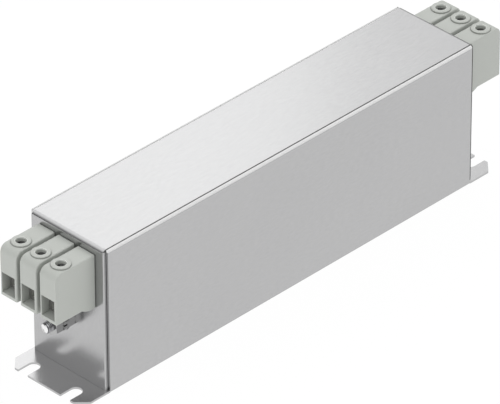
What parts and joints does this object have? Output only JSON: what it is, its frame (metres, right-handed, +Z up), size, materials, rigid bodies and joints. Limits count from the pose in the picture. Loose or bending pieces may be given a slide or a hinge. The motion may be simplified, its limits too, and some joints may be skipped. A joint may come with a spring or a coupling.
{
  "type": "emi line filter",
  "caption": "Long narrow mains filter in a folded steel case with slotted feet, touch-safe screw terminals and an earth stud at each end.",
  "frame": {"origin": "middle of the footprint on the mounting plane", "axes": "+X along the case from the line end to the load end, +Y across the case, +Z up from the mounting plane"},
  "size_m": [0.2652, 0.045, 0.0707],
  "materials": {
    "case_sheet": "satin",
    "film": "matte",
    "board": "satin",
    "moulding": "matte",
    "terminal_plastic": "satin",
    "copper_bar": "satin",
    "plated_steel": "satin",
    "stud_steel": "bright",
    "copper_wire": "satin",
    "winding_wire": "gloss",
    "core": "matte",
    "capacitor_case": "satin",
    "resistor_body": "matte"
  },
  "bodies": {
    "root": {"case_cover": "case_sheet", "side_channel": "case_sheet", "insulating_liner": "film", "circuit_board": "board", "board_posts": "moulding", "line_retainer": "moulding", "load_retainer": "moulding", "line_choke_divider": "moulding", "load_choke_divider": "moulding", "line_choke_cradle": "moulding", "load_choke_cradle": "moulding", "line_terminal_1": "terminal_plastic", "line_terminal_2": "terminal_plastic", "line_terminal_3": "terminal_plastic", "load_terminal_1": "terminal_plastic", "load_terminal_2": "terminal_plastic", "load_terminal_3": "terminal_plastic", "line_conductor_bar_1": "copper_bar", "line_conductor_bar_2": "copper_bar", "line_conductor_bar_3": "copper_bar", "load_conductor_bar_1": "copper_bar", "load_conductor_bar_2": "copper_bar", "load_conductor_bar_3": "copper_bar", "earth_strap": "copper_bar", "line_clamp_cage_1": "plated_steel", "line_clamp_cage_2": "plated_steel", "line_clamp_cage_3": "plated_steel", "load_clamp_cage_1": "plated_steel", "load_clamp_cage_2": "plated_steel", "load_clamp_cage_3": "plated_steel", "clamp_screws": "plated_steel", "line_earth_stud": "stud_steel", "load_earth_stud": "stud_steel", "earth_nuts": "stud_steel", "plain_washers": "stud_steel", "spring_washers": "stud_steel", "line_lead_1": "copper_wire", "line_lead_2": "copper_wire", "line_lead_3": "copper_wire", "load_lead_1": "copper_wire", "load_lead_2": "copper_wire", "load_lead_3": "copper_wire", "line_choke_winding_1": "winding_wire", "line_choke_winding_2": "winding_wire", "line_choke_winding_3": "winding_wire", "load_choke_winding_1": "winding_wire", "load_choke_winding_2": "winding_wire", "load_choke_winding_3": "winding_wire", "line_choke_core": "core", "load_choke_core": "core", "line_capacitor_1": "capacitor_case", "line_capacitor_2": "capacitor_case", "line_capacitor_3": "capacitor_case", "load_capacitor_1": "capacitor_case", "load_capacitor_2": "capacitor_case", "load_capacitor_3": "capacitor_case", "earth_capacitor": "capacitor_case", "discharge_resistors": "resistor_body"}
  },
  "joints": []
}
